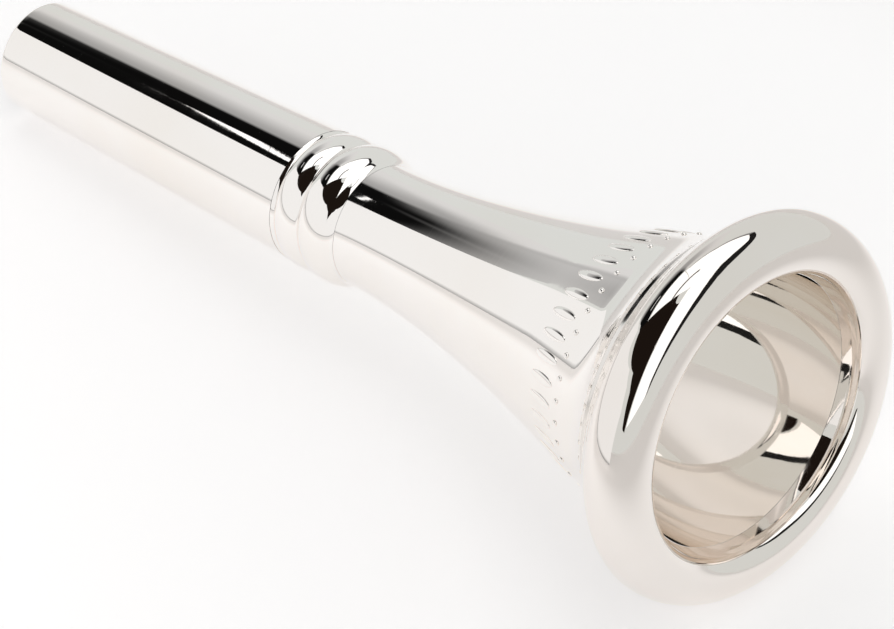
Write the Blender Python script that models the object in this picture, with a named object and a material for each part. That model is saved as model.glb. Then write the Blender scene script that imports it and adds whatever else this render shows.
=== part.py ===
"""French horn mouthpiece: stem, ferrule, cup, rim washer and screw-on rim, all turned about the X axis.

Stations are measured in millimetres from the small end of the stem. The bore runs along X, with the
small end at -X and the rim at +X, and the origin at the middle of the overall length.
"""

import math

import bmesh
import bpy

MM = 0.001

SEGMENTS = 40  # around the axis, a multiple of 4 so that the widest points lie on Y and Z
SHARP_ANGLE = math.radians(32)
WELD = 1e-7  # metres

LENGTH = 65.2
GAP = 0.1  # between parts that touch

# Bore: a backbore that narrows to the throat, and a bowl that opens from there
BACKBORE_TIP_R = 3.1
THROAT_R = 2.35
THROAT_START = 44.5
BOWL_BOTTOM = 47.0
BOWL_MOUTH_R = 8.75
BOWL_POWER = 1.85
BOWL_STEPS = 12

# Stem
STEM_TIP_R = 3.75
STEM_END_R = 4.43
STEM_END = 27.0
TIP_ROUND = 0.25
TIP_STEPS = 3
SPIGOT_R = 3.0
SPIGOT_END = 36.2
SPIGOT_CHAMFER = 0.2

# Ferrule
FERRULE_BORE_R = 3.1
FERRULE_END = 32.3
FERRULE_END_R = 4.06
FERRULE_GROOVE_R = 4.3
SMALL_BEAD = (27.25, 29.25)
SMALL_BEAD_R = 4.57
LARGE_BEAD = (29.35, 31.75)
LARGE_BEAD_R = 4.64
FERRULE_FILLET = (31.95, 4.16)
BEAD_STEPS = 6

# Cup
SOCKET_R = 3.1
SOCKET_END = 36.4
CUP_START = FERRULE_END + GAP
CUP_END = 63.2
FLARE_END = (55.0, 8.20)
FLARE_POWER = 1.65  # the outside widens with this power of the distance from the ferrule
FLARE_STEPS = 12
CREASE = (57.0, 8.68)
SHOULDER = (59.75, 10.22)
SHOULDER_LEAN = 0.45  # share of the rise under the rim that is straight; the rest curves
SHOULDER_STEPS = 4

# Screw joint between cup and rim
PITCH = 1.0
THREAD_R = 9.6
THREAD_DEPTH = 0.35
THREAD_GAP = 0.12
THREAD_START = 60.5
THREAD_END = 62.95
THREAD_FADE = 0.35
ROWS_PER_TURN = 4
RIDGE_STEPS = (0.0, 0.3, 0.5, 0.8)  # share of the pitch at which the ridge rises, crests and falls
MALE_RIDGE = (0.0, 1.0, 1.0, 0.0)
FEMALE_RIDGE = (1.0, 0.0, 0.0, 1.0)
PILOT_END = 60.3
PILOT_CHAMFER = 0.1

# Washer
WASHER_START = SHOULDER[0] + GAP
WASHER_THICKNESS = 0.3
WASHER_BORE_R = 9.7
WASHER_R = 10.3
WASHER_EDGE = 0.08

# Rim
RIM_START = WASHER_START + WASHER_THICKNESS + GAP
RIM_BACK_R = 10.5
RIM_R = 12.5
RIM_CREST = 62.85
RIM_BACK_ARC_R = 1.6
RIM_BACK_ARC = 43.4  # degrees
RIM_BACK_STEPS = 4
RIM_FACE_R = 10.35
RIM_FACE_STEPS = 8
BITE_R = 9.09
BITE = 64.1
BITE_STEPS = 6
RIM_LEDGE = CUP_END + GAP
RIM_LEDGE_R = 8.85

# Silver plate: colour and roughness
BODY_SILVER = ((0.93, 0.92, 0.90), 0.04)
CUP_SILVER = ((0.94, 0.93, 0.91), 0.04)
WASHER_SILVER = ((0.88, 0.87, 0.85), 0.12)
RIM_SILVER = ((0.95, 0.94, 0.92), 0.03)


def clear_scene():
    for obj in list(bpy.data.objects):
        bpy.data.objects.remove(obj, do_unlink=True)


def bead(start, end, base_r, peak_r, steps):
    """Points of the circular arc that rises from base_r at start to peak_r and falls back at end."""
    half = (end - start) / 2
    rise = peak_r - base_r
    radius = (half * half + rise * rise) / (2 * rise)
    spread = math.asin(half / radius)
    points = []
    for i in range(steps + 1):
        angle = -spread + 2 * spread * i / steps
        station = (start + end) / 2 + radius * math.sin(angle)
        points.append((station, peak_r - radius * (1 - math.cos(angle))))
    return points


def widening(start, end, power, steps):
    """Points whose radius grows from start to end with a power of the distance from start."""
    points = []
    for i in range(steps + 1):
        t = i / steps
        points.append((start[0] + (end[0] - start[0]) * t, start[1] + (end[1] - start[1]) * t**power))
    return points


def backbore_r(station):
    return THROAT_R + (BACKBORE_TIP_R - THROAT_R) * (1 - station / THROAT_START)


def bowl():
    """Points of the cup's inside, from the mouth down to the throat, ever steeper on the way."""
    points = []
    for i in range(BOWL_STEPS + 1):
        t = i / BOWL_STEPS
        station = CUP_END + (BOWL_BOTTOM - CUP_END) * t
        points.append((station, BOWL_MOUTH_R + (THROAT_R - BOWL_MOUTH_R) * t**BOWL_POWER))
    return points


def ellipse(centre, half_x, half_r, start, end, steps):
    """Points of an ellipse from angle start to angle end, with 0 along +X and 90 degrees outwards."""
    points = []
    for i in range(steps + 1):
        angle = math.radians(start + (end - start) * i / steps)
        points.append((centre[0] + half_x * math.cos(angle), centre[1] + half_r * math.sin(angle)))
    return points


def thread_rows(start, end, root_r, depth, ridge):
    """Station and radius along each row of a right-hand helical ridge, for each column round the axis."""
    turns = math.ceil((end - start) / PITCH) + 1
    rows = []
    for turn in range(-1, turns):
        for height, step in zip(ridge, RIDGE_STEPS):
            row = []
            for column in range(SEGMENTS):
                station = start + PITCH * (turn + step + column / SEGMENTS)
                station = min(max(station, start), end)
                fade = min(station - start, end - station, THREAD_FADE) / THREAD_FADE
                row.append((station, root_r + depth * height * fade))
            rows.append(row)
    return rows


def add_strip(bm, first, second):
    for column in range(SEGMENTS):
        following = (column + 1) % SEGMENTS
        bm.faces.new((first[column], first[following], second[following], second[column]))


def add_thread(bm, grid):
    """The faces of a helical grid. Its last column meets the first one a full turn further on."""
    last = len(grid) - 1
    for row in range(last):
        first, second = grid[row], grid[row + 1]
        for column in range(SEGMENTS - 1):
            bm.faces.new((first[column], first[column + 1], second[column + 1], second[column]))
        low = min(row + ROWS_PER_TURN, last)
        high = min(low + 1, last)
        corners = [first[-1], grid[low][0], grid[high][0], second[-1]]
        if low == high:
            corners.pop(2)
        bm.faces.new(corners)


def ring(bm, points, origin):
    verts = []
    for column, (station, radius) in enumerate(points):
        angle = 2 * math.pi * column / SEGMENTS
        y = radius * math.cos(angle)
        z = radius * math.sin(angle)
        verts.append(bm.verts.new(((station - origin) * MM, y * MM, z * MM)))
    return verts


def turned(name, profile, origin, material, thread=None):
    """A closed body of revolution. thread, a list of rows, stands between profile[-1] and profile[0]."""
    bm = bmesh.new()
    rings = [ring(bm, [point] * SEGMENTS, origin) for point in profile]
    for first, second in zip(rings, rings[1:]):
        add_strip(bm, first, second)
    if thread is None:
        add_strip(bm, rings[-1], rings[0])
    else:
        add_thread(bm, [ring(bm, row, origin) for row in thread])
    bmesh.ops.remove_doubles(bm, verts=bm.verts, dist=WELD)
    bmesh.ops.recalc_face_normals(bm, faces=bm.faces)
    mesh = bpy.data.meshes.new(name)
    bm.to_mesh(mesh)
    bm.free()
    mesh.shade_smooth()
    mesh.set_sharp_from_angle(angle=SHARP_ANGLE)
    mesh.materials.append(material)
    obj = bpy.data.objects.new(name, mesh)
    obj.location = ((origin - LENGTH / 2) * MM, 0, 0)
    bpy.context.scene.collection.objects.link(obj)
    return obj


def silver(name, colour, roughness):
    material = bpy.data.materials.new(name)
    material.use_nodes = True
    shader = material.node_tree.nodes["Principled BSDF"]
    shader.inputs["Base Color"].default_value = (*colour, 1)
    shader.inputs["Metallic"].default_value = 1
    shader.inputs["Roughness"].default_value = roughness
    return material


def stem_profile():
    points = [(0, BACKBORE_TIP_R)]
    points += ellipse((TIP_ROUND, STEM_TIP_R - TIP_ROUND), TIP_ROUND, TIP_ROUND, 180, 90, TIP_STEPS)
    points += [(STEM_END, STEM_END_R), (STEM_END, SPIGOT_R)]
    points += [(SPIGOT_END - SPIGOT_CHAMFER, SPIGOT_R), (SPIGOT_END, SPIGOT_R - SPIGOT_CHAMFER)]
    points += [(SPIGOT_END, backbore_r(SPIGOT_END))]
    return points


def ferrule_profile():
    start = STEM_END + GAP
    points = [(FERRULE_END, FERRULE_BORE_R), (start, FERRULE_BORE_R), (start, FERRULE_GROOVE_R)]
    points += bead(*SMALL_BEAD, FERRULE_GROOVE_R, SMALL_BEAD_R, BEAD_STEPS)
    points += bead(*LARGE_BEAD, FERRULE_GROOVE_R, LARGE_BEAD_R, BEAD_STEPS)
    points += [FERRULE_FILLET, (FERRULE_END, FERRULE_END_R)]
    return points


def cup_profile():
    points = [(THREAD_END, THREAD_R - THREAD_DEPTH), (CUP_END, THREAD_R - THREAD_DEPTH)]
    points += bowl()
    points += [(THROAT_START, THROAT_R), (SOCKET_END, backbore_r(SOCKET_END))]
    points += [(SOCKET_END, SOCKET_R), (CUP_START, SOCKET_R)]
    points += widening((CUP_START, FERRULE_END_R), FLARE_END, FLARE_POWER, FLARE_STEPS)
    points += [CREASE]
    length = SHOULDER[0] - CREASE[0]
    rise = SHOULDER[1] - CREASE[1]
    for i in range(1, SHOULDER_STEPS + 1):
        t = i / SHOULDER_STEPS
        lift = SHOULDER_LEAN * t + (1 - SHOULDER_LEAN) * t * t
        points.append((CREASE[0] + length * t, CREASE[1] + rise * lift))
    points += [(SHOULDER[0], THREAD_R), (PILOT_END, THREAD_R)]
    points += [(PILOT_END + PILOT_CHAMFER, THREAD_R - THREAD_DEPTH), (THREAD_START, THREAD_R - THREAD_DEPTH)]
    return points


def rim_profile():
    inner = THREAD_R + THREAD_GAP
    points = [(THREAD_START, inner), (RIM_START, inner), (RIM_START, RIM_BACK_R)]
    centre = (RIM_CREST, RIM_R - RIM_BACK_ARC_R)
    points += ellipse(centre, RIM_BACK_ARC_R, RIM_BACK_ARC_R, 90 + RIM_BACK_ARC, 90, RIM_BACK_STEPS)
    front = (RIM_CREST, RIM_FACE_R)
    points += ellipse(front, LENGTH - RIM_CREST, RIM_R - RIM_FACE_R, 90, 0, RIM_FACE_STEPS)[1:]
    inside = (BITE, RIM_FACE_R)
    points += ellipse(inside, LENGTH - BITE, RIM_FACE_R - BITE_R, 0, -90, BITE_STEPS)[1:]
    points += [(RIM_LEDGE, RIM_LEDGE_R), (RIM_LEDGE, inner), (THREAD_END, inner)]
    return points


def washer_profile():
    end = WASHER_START + WASHER_THICKNESS
    return [
        (end, WASHER_BORE_R),
        (WASHER_START, WASHER_BORE_R),
        (WASHER_START, WASHER_R - WASHER_EDGE),
        (WASHER_START + WASHER_EDGE, WASHER_R),
        (end - WASHER_EDGE, WASHER_R),
        (end, WASHER_R - WASHER_EDGE),
    ]


def main():
    clear_scene()
    turned("stem", stem_profile(), 0, silver("stem", *BODY_SILVER))
    turned("ferrule", ferrule_profile(), STEM_END + GAP, silver("ferrule", *BODY_SILVER))
    root = THREAD_R - THREAD_DEPTH
    male = thread_rows(THREAD_START, THREAD_END, root, THREAD_DEPTH, MALE_RIDGE)
    turned("cup", cup_profile(), CUP_START, silver("cup", *CUP_SILVER), male)
    turned("rim_washer", washer_profile(), WASHER_START, silver("rim_washer", *WASHER_SILVER))
    inner = THREAD_R + THREAD_GAP
    female = thread_rows(THREAD_START, THREAD_END, inner, -THREAD_DEPTH, FEMALE_RIDGE)
    turned("rim", rim_profile(), RIM_START, silver("rim", *RIM_SILVER), female)


main()
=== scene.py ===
"""Looks of a silver-plated French horn mouthpiece, lying on a pale table in a soft studio.

Stations are millimetres from the small end, along the bore (+X). Most measures repeat the CAD's, with finer
rings, and every fine piece stands for the CAD node of the same part. A few surfaces lie up to 0.12 mm from
the CAD's: the rim's back is fuller, the flare's last stretch is slimmer, and the gaps between parts are
closed to hairlines.
"""

import math

import bmesh
import bpy
from mathutils import Matrix, Vector


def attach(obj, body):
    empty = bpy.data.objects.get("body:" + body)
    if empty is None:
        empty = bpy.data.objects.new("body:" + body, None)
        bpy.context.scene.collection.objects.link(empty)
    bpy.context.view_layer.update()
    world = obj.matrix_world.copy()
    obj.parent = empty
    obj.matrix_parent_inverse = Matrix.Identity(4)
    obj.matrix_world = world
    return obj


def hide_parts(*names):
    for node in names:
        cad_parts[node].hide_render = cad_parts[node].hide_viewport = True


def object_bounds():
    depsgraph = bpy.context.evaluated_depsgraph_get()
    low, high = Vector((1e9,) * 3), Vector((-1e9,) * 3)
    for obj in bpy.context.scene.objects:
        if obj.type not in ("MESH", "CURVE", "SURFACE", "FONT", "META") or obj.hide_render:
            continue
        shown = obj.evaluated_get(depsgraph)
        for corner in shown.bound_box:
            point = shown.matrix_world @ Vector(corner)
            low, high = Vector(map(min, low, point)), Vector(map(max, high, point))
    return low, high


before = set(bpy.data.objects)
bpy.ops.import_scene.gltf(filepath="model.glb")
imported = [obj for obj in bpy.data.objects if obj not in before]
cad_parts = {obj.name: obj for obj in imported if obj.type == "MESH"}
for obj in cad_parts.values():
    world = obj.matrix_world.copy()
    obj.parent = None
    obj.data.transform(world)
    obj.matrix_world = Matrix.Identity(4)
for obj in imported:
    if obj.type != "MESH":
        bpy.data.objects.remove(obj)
CAD_LOW, CAD_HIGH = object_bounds()

MM = 0.001
SEGMENTS = 216  # a multiple of 4, so that the widest points lie on Y and Z as in the CAD
TIP_X = CAD_LOW.x  # the station 0
INSIDE = 0.99999  # keeps the fine pieces inside the CAD's box
LONGEST = 0.35  # mm, edge of a fine piece along its profile
SHARP_ANGLE = math.radians(30)
WELD = 1e-8  # metres

LENGTH = 65.2
HAIRLINE = 0.02  # between parts that touch

# Bore: a backbore that narrows to the throat, and a bowl that opens from there
BACKBORE_TIP_R = 3.1
THROAT_R = 2.35
THROAT_START = 44.5
BOWL_BOTTOM = 47.0
BOWL_MOUTH_R = 8.75
BOWL_POWER = 1.85
BOWL_STEPS = 80

# Stem
STEM_TIP_R = 3.75
STEM_END_R = 4.43
STEM_END = 27.0
TIP_ROUND = 0.25
TIP_STEPS = 8
SPIGOT_R = 3.0
SPIGOT_END = 36.2
SPIGOT_CHAMFER = 0.2

# Ferrule
FERRULE_START = STEM_END + HAIRLINE
FERRULE_EDGE_R = 4.42
FERRULE_EDGE_WIDTH = 0.1
FERRULE_EDGE_FALL = 0.03
FERRULE_BORE_R = 3.1
FERRULE_END = 32.3
FERRULE_END_R = 4.06
FERRULE_GROOVE_R = 4.3
SMALL_BEAD = (27.25, 29.25)
SMALL_BEAD_R = 4.57
SMALL_BEAD_STEPS = 28
LARGE_BEAD = (29.35, 31.75)
LARGE_BEAD_R = 4.64
LARGE_BEAD_STEPS = 32
FERRULE_FILLET = (31.95, 4.16)

# Cup: the flare widens with a power of the distance, then straightens up to the crease
SOCKET_R = 3.1
SOCKET_END = 36.4
CUP_END = 63.2
FLARE_START = (32.4, FERRULE_END_R)
FLARE_RISE = 4.14
FLARE_LENGTH = 22.6
FLARE_POWER = 1.65
FLARE_STRAIGHTENS = 52.0
FLARE_LAST_SLOPE = 0.26
FLARE_STEPS = 100
CREASE = (57.0, 8.68)
SHOULDER = (59.75, 10.22)
SHOULDER_LEAN = 0.45  # share of the rise under the rim that is straight; the rest curves
SHOULDER_STEPS = 12

# Screw joint between cup and rim
PITCH = 1.0
THREAD_R = 9.6
THREAD_DEPTH = 0.35
THREAD_GAP = 0.12
THREAD_START = 60.5
THREAD_END = 62.95
THREAD_FADE = 0.35
RIDGE_STEPS = (0.0, 0.3, 0.5, 0.8)  # share of the pitch at which the ridge rises, crests and falls
MALE_RIDGE = (0.0, 1.0, 1.0, 0.0)
FEMALE_RIDGE = (1.0, 0.0, 0.0, 1.0)
PILOT_END = 60.3
PILOT_CHAMFER = 0.1

# Rim
RIM_START = 60.25
RIM_BACK_R = 10.5
RIM_BACK_STEEP = 62.0  # degrees from the bore at which the rim's back starts to rise
RIM_BACK_STEPS = 16
RIM_R = 12.5
RIM_CREST = 62.85
RIM_BACK_ARC_R = 1.6
RIM_BACK_ARC = 43.4  # degrees
RIM_BACK_ARC_STEPS = 24
RIM_FACE_R = 10.35
RIM_FACE_STEPS = 40
BITE_R = 9.09
BITE = 64.1
BITE_STEPS = 30
RIM_LEDGE = CUP_END + HAIRLINE / 2
RIM_LEDGE_R = BOWL_MOUTH_R + HAIRLINE

# Washer: its outside leans on from the shoulder towards the rim's back
WASHER_START = SHOULDER[0] + HAIRLINE
WASHER_END = RIM_START - HAIRLINE
WASHER_BORE_R = 9.7
WASHER_EDGE = 0.05
WASHER_RADII = (10.24, 10.29, 10.33, 10.36)

# Raised band at the end of the flare, in mm: half length, half width and height of each pad
LEAVES = 36
LEAF_MIDDLE = 54.2
LEAF_SIZE = (1.15, 0.34, 0.11)
BEAD_MIDDLE = 55.9
BEAD_SIZE = (0.2, 0.2, 0.13)
PAD_RINGS = 12
PAD_SIDES = 12
PAD_SHARP_ANGLE = math.radians(60)
PAD_REACH = 0.1  # mm each way, over which the flare's slope under a pad is taken

# Silver plate: the two tones of each part, its roughness and its lathe lines per metre
BRIGHT = (0.93, 0.90, 0.87)
WARM = (0.91, 0.87, 0.825)
STEM_SILVER = (BRIGHT, WARM, 0.028, 2600.0)
FERRULE_SILVER = (BRIGHT, WARM, 0.03, 3000.0)
CUP_SILVER = (BRIGHT, WARM, 0.028, 2600.0)
WASHER_SILVER = ((0.82, 0.79, 0.76), (0.76, 0.72, 0.67), 0.10, 4200.0)
RIM_SILVER = ((0.875, 0.83, 0.79), (0.86, 0.805, 0.755), 0.025, 2200.0)

# Marks on the silver. A noise is its scale and detail, and a range is where in the noise a mark comes in.
MARKS_SHIFT = (1.0, 0.7, -1.0)  # times a part's seed, so that no two parts share their marks
TARNISH_NOISE = (95.0, 4.0)
TARNISH_RANGE = (0.42, 0.72)
SMUDGE_NOISE = (240.0, 5.0)
SMUDGE_RANGE = (0.5, 0.8)
SMUDGE_DULLS = 0.05
SCRATCHES = 5200.0  # per metre along the bore
SCRATCH_WAVES = 1.1  # per radian round the bore
SCRATCH_DETAIL = 2.0
SCRATCH_RANGE = (0.66, 0.74)
SCRATCH_DULLS = 0.05
SCRATCH_DEPTH = 0.5  # of the lathe lines' depth
LATHE_WAVES = 0.15
LATHE_DETAIL = 3.0
LATHE_SEED = 3.0  # sets the lathe lines apart from the scratches
RELIEF_STRENGTH = 0.05
RELIEF_DEPTH = 0.00001  # metres

# Table: the mouthpiece leans on the rim and on the small end, so the table is tilted in the bore's frame.
TABLE_TILT = math.radians(7.96)
TABLE_DROP = 8.21 * MM  # from the origin to the table
TABLE_HALF = 1.5  # metres
TABLE_COLOUR = (0.80, 0.77, 0.755, 1)
# Painted light: the table glows, most in a pool round the mouthpiece.
TABLE_PAINTED_GLOW = (0.97, 1.0, 1.03, 1)
PAINTED_POOL_EDGE = (0.04, 0.085)  # metres from the middle, over which the table's painted glow falls
PAINTED_POOL_GLOW = (0.385, 0.12)
WORLD_COLOUR = (0.74, 0.76, 0.745, 1)

# Cards round the mouthpiece. Edges are lists of azimuths and elevations in degrees, FAR and NEAR are metres,
# and GREY is a share of white. A pair in degrees is the stretch over which a shade comes in.
CARD_STEP = 1.5  # degrees of azimuth
FINE_CARD_STEP = 0.8
CARD_ROWS = 24
LAMP_STRENGTH = 1.35
LAMP_STRIP_GREY = 0.9
ARCH_GREY = 0.015
RAIL_GREY = 0.25
HIGH_RAIL_GREY = 0.06
ROOM_BLACK = 0.004
HIGH_ROOM_BROWN = (0.012, 0.008, 0.006)
WALL_GREY = 0.74
WALL_EDGE = (162, 167)
WALL_SHADE_GREY = 0.36  # painted shade, taken off the wall
WALL_SHADE_LEFT = (138, 163)
WALL_SHADE_FOOT = (18, 26)
WALL_SHADE_TOP = (38, 47)
VEIL_GREY = 0.22
VEIL_EDGE = (166, 177)
VEIL_TOP = (24, 36)
STRIPE_GREY = 0.06
STRIPE_TOP = (26, 37)
STRIPE_MIDDLE = 180
STRIPE_WIDTH = 1.6
ROOM_FOOT_GREY = 0.58
ROOM_FOOT_TOP = (15, 30)
FRONT_GREY = 0.95
FRONT_FOOT_SHADE_GREY = 0.72  # painted shade, taken off the front card's foot where it meets the table
FRONT_FOOT_SHADE_TOP = (-3.3, -1.6)
ROOM_FAR = 0.9
LAMP_FAR = 0.95
LAMP_NEAR = 0.85
RAIL_FAR = 0.88
HIGH_RAIL_FAR = 0.84
FRONT_FAR = 0.13
ARCH_AZIMUTHS = (-20, -10, 0, 15, 30, 45, 60, 75, 90, 105)
ARCH_TOP = list(zip(ARCH_AZIMUTHS, (40, 50, 57, 63, 66, 67, 66, 59, 49, 44)))
ARCH_FOOT = list(zip(ARCH_AZIMUTHS, (29, 38, 45, 52, 56, 56, 53, 49, 44, 40)))
RAIL_TOP = [(120, 48), (135, 51.3)]

# Camera, in the CAD's frame and in metres
CAMERA_AT = (0.196607, -0.165104, 0.179630)
CAMERA_BACK = (0.61216, -0.52798, 0.58864)
CAMERA_UP = (-0.36310, 0.47360, 0.80241)
CAMERA_LENS = 201.3
SENSOR_WIDTH = 36
CLIP = (0.01, 20)

MIRROR_BOUNCES = 12  # deep enough for the paths that run round inside the polished rim and bowl


def shade_smooth(mesh, sharp):
    mesh.shade_smooth()
    mesh.set_sharp_from_angle(angle=sharp)


def add_mesh(name, verts, faces, material, sharp=SHARP_ANGLE):
    mesh = bpy.data.meshes.new(name)
    mesh.from_pydata(verts, [], faces)
    shade_smooth(mesh, sharp)
    mesh.materials.append(material)
    obj = bpy.data.objects.new(name, mesh)
    bpy.context.scene.collection.objects.link(obj)
    return obj


def at(station, radius, angle):
    """Point in the CAD's frame, in metres. The angle runs from +Y towards +Z."""
    radius *= MM * INSIDE
    return (TIP_X + station * MM, radius * math.cos(angle), radius * math.sin(angle))


def bead(start, end, base_r, peak_r, steps):
    """Points of the circular arc that rises from base_r at start to peak_r and falls back at end."""
    half = (end - start) / 2
    rise = peak_r - base_r
    radius = (half * half + rise * rise) / (2 * rise)
    spread = math.asin(half / radius)
    points = []
    for i in range(steps + 1):
        angle = -spread + 2 * spread * i / steps
        station = (start + end) / 2 + radius * math.sin(angle)
        points.append((station, peak_r - radius * (1 - math.cos(angle))))
    return points


def ellipse(centre, half_x, half_r, start, end, steps):
    """Points of an elliptical arc between two angles in degrees, which run from +X outwards."""
    points = []
    for i in range(steps + 1):
        angle = math.radians(start + (end - start) * i / steps)
        points.append((centre[0] + half_x * math.cos(angle), centre[1] + half_r * math.sin(angle)))
    return points


def hermite(t, first, first_slope, last, last_slope):
    """Value at t, from 0 to 1, of the smooth curve with these ends and slopes."""
    value = (2 * t**3 - 3 * t**2 + 1) * first + (3 * t**2 - 2 * t**3) * last
    return value + (t**3 - 2 * t**2 + t) * first_slope + (t**3 - t**2) * last_slope


def refined(profile, longest, closed):
    """The profile with its long edges cut to pieces no longer than longest."""
    points = []
    ends = profile[1:] + (profile[:1] if closed else [])
    for first, second in zip(profile, ends):
        steps = max(1, math.ceil(math.dist(first, second) / longest))
        for i in range(steps):
            t = i / steps
            points.append((first[0] + (second[0] - first[0]) * t, first[1] + (second[1] - first[1]) * t))
    if not closed:
        points.append(profile[-1])
    return points


def thread_rows(root_r, depth, ridge):
    """Station and radius of each column along each row of a right-hand helical ridge."""
    turns = math.ceil((THREAD_END - THREAD_START) / PITCH) + 1
    rows = []
    for turn in range(-1, turns):
        for height, step in zip(ridge, RIDGE_STEPS):
            row = []
            for column in range(SEGMENTS):
                station = THREAD_START + PITCH * (turn + step + column / SEGMENTS)
                station = min(max(station, THREAD_START), THREAD_END)
                fade = min(station - THREAD_START, THREAD_END - station, THREAD_FADE) / THREAD_FADE
                row.append((station, root_r + depth * height * fade))
            rows.append(row)
    return rows


def strip(first, second):
    """Faces between two rings of vertex numbers."""
    faces = []
    for column in range(SEGMENTS):
        following = (column + 1) % SEGMENTS
        faces.append((first[column], second[column], second[following], first[following]))
    return faces


def helical(grid):
    """Faces of a helical grid, whose last column meets the first one a full turn further on."""
    faces = []
    last = len(grid) - 1
    for row in range(last):
        first, second = grid[row], grid[row + 1]
        for column in range(SEGMENTS - 1):
            faces.append((first[column], second[column], second[column + 1], first[column + 1]))
        low = min(row + len(RIDGE_STEPS), last)
        high = min(low + 1, last)
        corners = [first[-1], second[-1], grid[high][0], grid[low][0]]
        if low == high:
            corners.pop(2)
        faces.append(tuple(corners))
    return faces


def turned(name, profile, material, thread=None):
    """A closed body of revolution. thread, a list of rows, stands between profile[-1] and profile[0]."""
    rows = [[point] * SEGMENTS for point in refined(profile, LONGEST, thread is None)]
    rings = len(rows)
    rows += thread or []
    verts = []
    for row in rows:
        for column, (station, radius) in enumerate(row):
            verts.append(at(station, radius, 2 * math.pi * column / SEGMENTS))
    grid = [range(i * SEGMENTS, (i + 1) * SEGMENTS) for i in range(len(rows))]
    faces = []
    for first, second in zip(grid[:rings], grid[1:rings]):
        faces += strip(first, second)
    if thread:
        faces += helical(grid[rings:])
    else:
        faces += strip(grid[-1], grid[0])
    obj = add_mesh(name, verts, faces, material)
    bm = bmesh.new()
    bm.from_mesh(obj.data)
    bmesh.ops.remove_doubles(bm, verts=bm.verts, dist=WELD)
    bmesh.ops.recalc_face_normals(bm, faces=bm.faces)
    bm.to_mesh(obj.data)
    bm.free()
    shade_smooth(obj.data, SHARP_ANGLE)
    return obj


def backbore_r(station):
    return THROAT_R + (BACKBORE_TIP_R - THROAT_R) * (1 - station / THROAT_START)


def stem_profile():
    points = [(0.0, BACKBORE_TIP_R)]
    points += ellipse((TIP_ROUND, STEM_TIP_R - TIP_ROUND), TIP_ROUND, TIP_ROUND, 180, 90, TIP_STEPS)
    points += [(STEM_END, STEM_END_R), (STEM_END, SPIGOT_R), (SPIGOT_END - SPIGOT_CHAMFER, SPIGOT_R)]
    points += [(SPIGOT_END, SPIGOT_R - SPIGOT_CHAMFER), (SPIGOT_END, backbore_r(SPIGOT_END))]
    return points


def ferrule_profile():
    end = FLARE_START[0] - HAIRLINE
    points = [(end, FERRULE_BORE_R), (FERRULE_START, FERRULE_BORE_R), (FERRULE_START, FERRULE_EDGE_R)]
    points += [(FERRULE_START + FERRULE_EDGE_WIDTH, FERRULE_EDGE_R - FERRULE_EDGE_FALL)]
    points += bead(*SMALL_BEAD, FERRULE_GROOVE_R, SMALL_BEAD_R, SMALL_BEAD_STEPS)
    points += bead(*LARGE_BEAD, FERRULE_GROOVE_R, LARGE_BEAD_R, LARGE_BEAD_STEPS)
    points += [FERRULE_FILLET, (FERRULE_END, FERRULE_END_R), (end, FERRULE_END_R)]
    return points


def flare_r(station):
    """Radius of the cup's outside between the ferrule and the crease. The last stretch straightens."""
    start, end = FLARE_STRAIGHTENS, CREASE[0]
    if station <= start:
        return FLARE_START[1] + FLARE_RISE * ((station - FLARE_START[0]) / FLARE_LENGTH) ** FLARE_POWER
    length = end - start
    first_r = flare_r(start)
    first_slope = FLARE_POWER * (first_r - FLARE_START[1]) / (start - FLARE_START[0])
    t = (station - start) / length
    return hermite(t, first_r, first_slope * length, CREASE[1], FLARE_LAST_SLOPE * length)


def bowl():
    """Points of the bowl, from the mouth in to the throat."""
    points = []
    for i in range(BOWL_STEPS + 1):
        t = i / BOWL_STEPS
        station = CUP_END - (CUP_END - BOWL_BOTTOM) * t
        points.append((station, BOWL_MOUTH_R + (THROAT_R - BOWL_MOUTH_R) * t**BOWL_POWER))
    return points


def flare():
    points = []
    for i in range(FLARE_STEPS + 1):
        station = FLARE_START[0] + (CREASE[0] - FLARE_START[0]) * i / FLARE_STEPS
        points.append((station, flare_r(station)))
    return points


def shoulder():
    """Points after the crease, up to the washer."""
    points = []
    for i in range(1, SHOULDER_STEPS + 1):
        t = i / SHOULDER_STEPS
        rise = SHOULDER_LEAN * t + (1 - SHOULDER_LEAN) * t * t
        station = CREASE[0] + (SHOULDER[0] - CREASE[0]) * t
        points.append((station, CREASE[1] + (SHOULDER[1] - CREASE[1]) * rise))
    return points


def cup_profile():
    root_r = THREAD_R - THREAD_DEPTH
    points = [(THREAD_END, root_r), (CUP_END, root_r)] + bowl()
    points += [(THROAT_START, THROAT_R), (SOCKET_END, backbore_r(SOCKET_END))]
    points += [(SOCKET_END, SOCKET_R), (FLARE_START[0], SOCKET_R)]
    points += flare() + shoulder()
    points += [(SHOULDER[0], THREAD_R), (PILOT_END, THREAD_R)]
    points += [(PILOT_END + PILOT_CHAMFER, root_r), (THREAD_START, root_r)]
    return points


def washer_profile():
    stations = (WASHER_START, WASHER_START + WASHER_EDGE, WASHER_END - WASHER_EDGE, WASHER_END)
    return [(WASHER_END, WASHER_BORE_R), (WASHER_START, WASHER_BORE_R), *zip(stations, WASHER_RADII)]


def rim_back(end):
    """Points of the curve that rises from the washer to end, where it meets the rim's round back."""
    start = (RIM_START, RIM_BACK_R)
    chord = math.dist(start, end)
    first, last = math.radians(RIM_BACK_STEEP), math.radians(RIM_BACK_ARC)
    points = []
    for i in range(RIM_BACK_STEPS):
        t = i / RIM_BACK_STEPS
        station = hermite(t, start[0], chord * math.cos(first), end[0], chord * math.cos(last))
        radius = hermite(t, start[1], chord * math.sin(first), end[1], chord * math.sin(last))
        points.append((station, radius))
    return points


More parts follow.
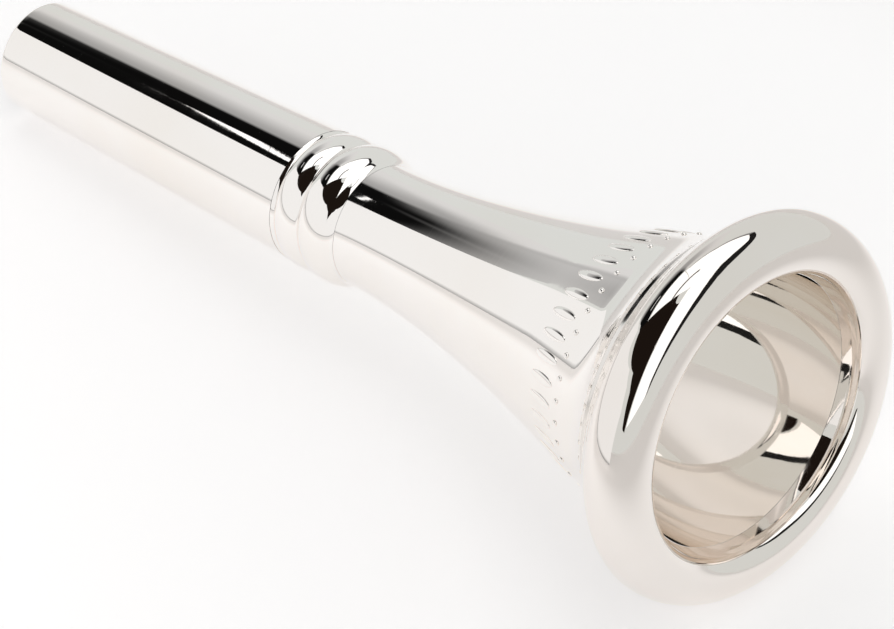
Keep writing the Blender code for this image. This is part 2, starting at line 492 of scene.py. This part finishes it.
def rim_profile():
    inner = THREAD_R + THREAD_GAP
    arc_middle = (RIM_CREST, RIM_R - RIM_BACK_ARC_R)
    arc = ellipse(arc_middle, RIM_BACK_ARC_R, RIM_BACK_ARC_R, 90 + RIM_BACK_ARC, 90, RIM_BACK_ARC_STEPS)
    face_middle = (RIM_CREST, RIM_FACE_R)
    face = ellipse(face_middle, LENGTH - RIM_CREST, RIM_R - RIM_FACE_R, 90, 0, RIM_FACE_STEPS)
    bite = ellipse((BITE, RIM_FACE_R), LENGTH - BITE, RIM_FACE_R - BITE_R, 0, -90, BITE_STEPS)
    points = [(THREAD_START, inner), (RIM_START, inner)]
    points += rim_back(arc[0]) + arc + face[1:] + bite[1:]
    points += [(RIM_LEDGE, RIM_LEDGE_R), (RIM_LEDGE, inner), (THREAD_END, inner)]
    return points


def node(tree, kind, **values):
    """A new shader node, with the named inputs set."""
    made = tree.nodes.new("ShaderNode" + kind)
    for name, value in values.items():
        made.inputs[name].default_value = value
    return made


def math_node(tree, operation, first, second):
    """Output of a Math node. Each operand is a socket or a number."""
    made = node(tree, "Math")
    made.operation = operation
    for socket, value in zip(made.inputs, (first, second)):
        if isinstance(value, (int, float)):
            socket.default_value = value
        else:
            tree.links.new(value, socket)
    return made.outputs[0]


def noise(tree, vector, scale, detail):
    made = node(tree, "TexNoise", Scale=scale, Detail=detail)
    tree.links.new(vector, made.inputs["Vector"])
    return made.outputs[0]


def map_range(tree, value, source, target=(0.0, 1.0), interpolation="LINEAR"):
    """Output of a node that carries the range source of the socket value to the range target."""
    made = node(tree, "MapRange")
    made.interpolation_type = interpolation
    made.inputs["From Min"].default_value = source[0]
    made.inputs["From Max"].default_value = source[1]
    made.inputs["To Min"].default_value = target[0]
    made.inputs["To Max"].default_value = target[1]
    tree.links.new(value, made.inputs["Value"])
    return made.outputs[0]


def mixed(tree, share, first, second):
    """Output that goes from the first colour to the second with the socket share."""
    mix = node(tree, "Mix")
    mix.data_type = "RGBA"
    colour_in = [socket for socket in mix.inputs if socket.type == "RGBA"]
    colour_in[0].default_value = (*first, 1)
    colour_in[1].default_value = (*second, 1)
    tree.links.new(share, mix.inputs[0])
    return [socket for socket in mix.outputs if socket.type == "RGBA"][0]


def streaks(tree, along, turn, lines, waves, seed, detail):
    """Noise drawn out round the bore. along is the place on the bore, and turn the angle round it."""
    stretched = node(tree, "CombineXYZ")
    tree.links.new(math_node(tree, "MULTIPLY", along, lines), stretched.inputs["X"])
    tree.links.new(math_node(tree, "MULTIPLY", turn, waves), stretched.inputs["Y"])
    stretched.inputs["Z"].default_value = seed
    return noise(tree, stretched.outputs[0], 1.0, detail)


def silver(name, bright, warm, roughness, lines, seed):
    """Polished silver plate: lathe lines, hairline scratches, smudges and a faint warm tarnish."""
    material = bpy.data.materials.new(name)
    material.use_nodes = True
    tree = material.node_tree
    shader = tree.nodes["Principled BSDF"]
    shader.inputs["Metallic"].default_value = 1.0
    spot = node(tree, "TexCoord").outputs["Object"]
    shifted = node(tree, "Mapping", Location=[seed * share for share in MARKS_SHIFT])
    tree.links.new(spot, shifted.inputs["Vector"])
    split = node(tree, "SeparateXYZ")
    tree.links.new(spot, split.inputs["Vector"])
    along = split.outputs["X"]
    turn = math_node(tree, "ARCTAN2", split.outputs["Z"], split.outputs["Y"])

    tone = noise(tree, shifted.outputs["Vector"], *TARNISH_NOISE)
    tarnish = map_range(tree, tone, TARNISH_RANGE)
    tree.links.new(mixed(tree, tarnish, bright, warm), shader.inputs["Base Color"])

    hair = streaks(tree, along, turn, SCRATCHES, SCRATCH_WAVES, seed, SCRATCH_DETAIL)
    scratch = map_range(tree, hair, SCRATCH_RANGE)
    smudge = noise(tree, shifted.outputs["Vector"], *SMUDGE_NOISE)
    dull = map_range(tree, smudge, SMUDGE_RANGE, (roughness, roughness + SMUDGE_DULLS))
    scratch_dull = math_node(tree, "MULTIPLY", scratch, SCRATCH_DULLS)
    tree.links.new(math_node(tree, "ADD", dull, scratch_dull), shader.inputs["Roughness"])

    lathe = streaks(tree, along, turn, lines, LATHE_WAVES, seed + LATHE_SEED, LATHE_DETAIL)
    relief = math_node(tree, "SUBTRACT", lathe, math_node(tree, "MULTIPLY", scratch, SCRATCH_DEPTH))
    bump = node(tree, "Bump", Strength=RELIEF_STRENGTH, Distance=RELIEF_DEPTH)
    tree.links.new(relief, bump.inputs["Height"])
    tree.links.new(bump.outputs["Normal"], shader.inputs["Normal"])
    return material


def on_flare(station, angle):
    """Point on the outside of the flare."""
    return Vector(at(station, flare_r(station), angle))


def add_pad(verts, faces, station, angle, size):
    """A closed ellipsoid, half sunk in the flare. size is its half length, half width and height in mm."""
    centre = on_flare(station, angle)
    along = (on_flare(station + PAD_REACH, angle) - on_flare(station - PAD_REACH, angle)).normalized()
    across = Vector((0, -math.sin(angle), math.cos(angle)))
    out = along.cross(across).normalized()
    if out.dot(Vector((0, centre.y, centre.z))) < 0:
        out = -out
    start = len(verts)
    verts.append(centre - along * size[0] * MM)
    for i in range(1, PAD_RINGS):
        along_angle = math.pi * i / PAD_RINGS
        width = math.sin(along_angle)
        for k in range(PAD_SIDES):
            turn = 2 * math.pi * k / PAD_SIDES
            offset = -along * size[0] * math.cos(along_angle)
            offset += across * size[1] * width * math.cos(turn)
            offset += out * size[2] * width * math.sin(turn)
            verts.append(centre + offset * MM)
    verts.append(centre + along * size[0] * MM)
    last = len(verts) - 1
    for k in range(PAD_SIDES):
        following = (k + 1) % PAD_SIDES
        faces.append((start, start + 1 + k, start + 1 + following))
        for i in range(PAD_RINGS - 2):
            low = start + 1 + i * PAD_SIDES
            high = low + PAD_SIDES
            faces.append((low + k, high + k, high + following, low + following))
        faces.append((last, last - PAD_SIDES + following, last - PAD_SIDES + k))


def ornament(material):
    """A plain band round the end of the flare: raised leaves along the bore, and a bead between each two."""
    verts, faces = [], []
    for i in range(LEAVES):
        angle = 2 * math.pi * i / LEAVES
        add_pad(verts, faces, LEAF_MIDDLE, angle, LEAF_SIZE)
        add_pad(verts, faces, BEAD_MIDDLE, angle + math.pi / LEAVES, BEAD_SIZE)
    return add_mesh("cup_chasing", verts, faces, material, PAD_SHARP_ANGLE)


def hand_over(obj, cad_node, body):
    """The piece stands for the CAD node, which it hides, and rides on its body."""
    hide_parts(cad_node)
    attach(obj, body)


silver_stem = silver("silver_stem", *STEM_SILVER, 1.0)
silver_ferrule = silver("silver_ferrule", *FERRULE_SILVER, 2.0)
silver_cup = silver("silver_cup", *CUP_SILVER, 3.0)
silver_washer = silver("silver_washer", *WASHER_SILVER, 4.0)
silver_rim = silver("silver_rim", *RIM_SILVER, 5.0)

male = thread_rows(THREAD_R - THREAD_DEPTH, THREAD_DEPTH, MALE_RIDGE)
female = thread_rows(THREAD_R + THREAD_GAP, -THREAD_DEPTH, FEMALE_RIDGE)
hand_over(turned("stem_fine", stem_profile(), silver_stem), "stem", "underpart")
hand_over(turned("ferrule_fine", ferrule_profile(), silver_ferrule), "ferrule", "underpart")
hand_over(turned("cup_fine", cup_profile(), silver_cup, male), "cup", "underpart")
hand_over(turned("rim_washer_fine", washer_profile(), silver_washer), "rim_washer", "washer")
hand_over(turned("rim_fine", rim_profile(), silver_rim, female), "rim", "rim")
chasing = ornament(silver_cup)
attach(chasing, "underpart")

# Studio: a frame whose Z is the table's normal and whose X is the bore seen from above. Azimuths run from
# +X towards +Y, and elevations from the table, both as seen from the middle of the mouthpiece.
studio = Matrix.Rotation(TABLE_TILT, 4, "Y")


def make_table():
    """A matt white table that glows with painted light, in a soft pool round the mouthpiece that fades to an
    even glow further out.
    """
    material = bpy.data.materials.new("table_white")
    material.use_nodes = True
    tree = material.node_tree
    shader = tree.nodes["Principled BSDF"]
    shader.inputs["Base Color"].default_value = TABLE_COLOUR
    shader.inputs["Roughness"].default_value = 1.0
    shader.inputs["Specular IOR Level"].default_value = 0.0
    shader.inputs["Emission Color"].default_value = TABLE_PAINTED_GLOW
    # Painted pool of light: the glow falls with the distance from the middle.
    from_middle = node(tree, "VectorMath")
    from_middle.operation = "LENGTH"
    tree.links.new(node(tree, "TexCoord").outputs["Object"], from_middle.inputs[0])
    painted_pool = map_range(tree, from_middle.outputs["Value"], PAINTED_POOL_EDGE, PAINTED_POOL_GLOW, "SMOOTHSTEP")
    tree.links.new(painted_pool, shader.inputs["Emission Strength"])
    corners = []
    for x, y in ((-1, -1), (1, -1), (1, 1), (-1, 1)):
        corners.append(studio @ Vector((x * TABLE_HALF, y * TABLE_HALF, -TABLE_DROP)))
    add_mesh("table", corners, [(0, 1, 2, 3)], material)


def glow(name, strength):
    """A lamp or card whose brightness comes from the mesh's own colours."""
    material = bpy.data.materials.new(name)
    material.use_nodes = True
    tree = material.node_tree
    tree.nodes.clear()
    colour = node(tree, "VertexColor")
    colour.layer_name = "Glow"
    light = node(tree, "Emission", Strength=strength)
    out = node(tree, "OutputMaterial")
    tree.links.new(colour.outputs["Color"], light.inputs["Color"])
    tree.links.new(light.outputs["Emission"], out.inputs["Surface"])
    return material


def direction(azimuth, elevation):
    a, e = math.radians(azimuth), math.radians(elevation)
    return Vector((math.cos(a) * math.cos(e), math.sin(a) * math.cos(e), math.sin(e)))


def between(points, azimuth):
    """Value at an azimuth along a list of (azimuth, value)."""
    for (a0, v0), (a1, v1) in zip(points, points[1:]):
        if azimuth <= a1:
            return v0 + (v1 - v0) * (azimuth - a0) / (a1 - a0)
    return points[-1][1]


def smooth(low, high, value):
    t = min(1.0, max(0.0, (value - low) / (high - low)))
    return t * t * (3 - 2 * t)


def grey(value):
    return (value, value, value)


def even(value):
    """A shade for a card that is the same grey all over."""
    return lambda azimuth, elevation: grey(value)


def card(name, lower, upper, distance, shade, material, step=CARD_STEP):
    """A card between two edges, unseen by the camera. shade gives its colour by azimuth and elevation."""
    start, end = lower[0][0], lower[-1][0]
    columns = max(2, math.ceil((end - start) / step))
    verts, colours, faces = [], [], []
    for i in range(columns + 1):
        azimuth = start + (end - start) * i / columns
        low, high = between(lower, azimuth), between(upper, azimuth)
        for j in range(CARD_ROWS + 1):
            elevation = low + (high - low) * j / CARD_ROWS
            verts.append(studio @ (direction(azimuth, elevation) * distance))
            colours.append((*shade(azimuth, elevation), 1.0))
    for i in range(columns):
        for j in range(CARD_ROWS):
            k = i * (CARD_ROWS + 1) + j
            faces.append((k, k + 1, k + CARD_ROWS + 2, k + CARD_ROWS + 1))
    obj = add_mesh(name, verts, faces, material)
    layer = obj.data.color_attributes.new("Glow", "FLOAT_COLOR", "POINT")
    for item, colour in zip(layer.data, colours):
        item.color = colour
    obj.visible_camera = False


def room_shade(azimuth, elevation):
    """The dark room: a grey wall at its left edge with a band of painted shade on it, a veil and a stripe
    beside that, and a paler foot.
    """
    # Painted shade: a darker band across the wall, deepening towards the wall's edge.
    wall_shade = smooth(*WALL_SHADE_LEFT, azimuth) * smooth(*WALL_SHADE_FOOT, elevation)
    wall_shade *= 1 - smooth(*WALL_SHADE_TOP, elevation)
    wall = WALL_GREY - WALL_SHADE_GREY * wall_shade
    edge = 1 - smooth(*WALL_EDGE, azimuth)
    veil = (1 - smooth(*VEIL_EDGE, azimuth)) * (1 - smooth(*VEIL_TOP, elevation)) * VEIL_GREY
    across = (azimuth - STRIPE_MIDDLE) / STRIPE_WIDTH
    stripe = math.exp(-(across**2)) * (1 - smooth(*STRIPE_TOP, elevation)) * STRIPE_GREY
    value = ROOM_BLACK + wall * edge + (veil + stripe) * (1 - edge)
    foot = (1 - smooth(*ROOM_FOOT_TOP, elevation)) * (1 - edge)
    return grey(value + (ROOM_FOOT_GREY - value) * foot)


def front_shade(azimuth, elevation):
    """The pale front card, with painted shade along its foot, where it meets the table."""
    return grey(FRONT_GREY - FRONT_FOOT_SHADE_GREY * (1 - smooth(*FRONT_FOOT_SHADE_TOP, elevation)))


def brown_shade(azimuth, elevation):
    return HIGH_ROOM_BROWN


def make_dark_cards(dim):
    """What the silver reflects as dark or grey: the room over the front card, an arch behind, two rails."""
    room_foot = [(136, 16), (183, 17), (187, 19), (202.5, 34), (213, 40)]
    card("room_low", room_foot, [(136, 47), (213, 47)], ROOM_FAR, room_shade, dim, FINE_CARD_STEP)
    high_foot = [(211, 40), (225, 40), (270, 40), (285, 31), (296, 12), (303, 10)]
    card("room_high", high_foot, [(211, 80), (303, 80)], ROOM_FAR, brown_shade, dim)
    card("arch", [(-28, 17)] + ARCH_FOOT, [(-28, 25)] + ARCH_TOP, ROOM_FAR, even(ARCH_GREY), dim)
    rail_foot = [(105, 40), (120, 45.5), (135, 49.5), (162, 50)]
    card("rail", rail_foot, [(105, 43.5)] + RAIL_TOP + [(162, 51)], RAIL_FAR, even(RAIL_GREY), dim)
    high_rail_top = [(140, 73.5), (211, 73.5)]
    card("rail_high", [(140, 71), (211, 71)], high_rail_top, HIGH_RAIL_FAR, even(HIGH_RAIL_GREY), dim)


def make_lamps(lamp):
    card("lamp_back", [(166, 49), (210, 49)], [(166, 71), (210, 71)], LAMP_NEAR, even(1.0), lamp)
    strip_top = [(184, 38.4), (194, 38.4)]
    card("lamp_strip", [(184, 37.1), (194, 37.1)], strip_top, LAMP_NEAR, even(LAMP_STRIP_GREY), lamp)
    top_foot = [(-55, 12), (-29, 19)] + ARCH_TOP + RAIL_TOP + [(165, 50)]
    card("lamp_top", top_foot, [(-55, 89), (165, 89)], LAMP_FAR, even(1.0), lamp)
    card("lamp_high", [(165, 74), (210, 74)], [(165, 89), (210, 89)], LAMP_FAR, even(1.0), lamp)


def make_front_card(dim):
    """The card that stands on the table to the front left and ends the pale table there."""
    foot = [(184, -4.3), (240, -4.3), (292, -3.0)]
    top = [(184, 19), (202.5, 34.5), (213, 41), (270, 41), (285, 33), (292, 22)]
    card("front", foot, top, FRONT_FAR, front_shade, dim)


def make_world():
    world = bpy.data.worlds.new("studio")
    bpy.context.scene.world = world
    world.use_nodes = True
    background = world.node_tree.nodes["Background"]
    background.inputs["Color"].default_value = WORLD_COLOUR
    background.inputs["Strength"].default_value = 1.0


def make_camera():
    data = bpy.data.cameras.new("camera")
    data.sensor_width = SENSOR_WIDTH
    data.lens = CAMERA_LENS
    data.clip_start, data.clip_end = CLIP
    camera = bpy.data.objects.new("camera", data)
    bpy.context.scene.collection.objects.link(camera)
    bpy.context.scene.camera = camera
    back = Vector(CAMERA_BACK).normalized()
    right = Vector(CAMERA_UP).cross(back).normalized()
    up = back.cross(right)
    turn_and_place = Matrix((right, up, back)).transposed().to_4x4()
    turn_and_place.translation = Vector(CAMERA_AT)
    camera.matrix_world = turn_and_place


make_table()
dim_cards = glow("dim", 1.0)
make_dark_cards(dim_cards)
make_lamps(glow("lamp", LAMP_STRENGTH))
make_front_card(dim_cards)
make_world()
make_camera()

bpy.context.scene.view_settings.view_transform = "Standard"
bpy.context.scene.cycles.glossy_bounces = MIRROR_BOUNCES
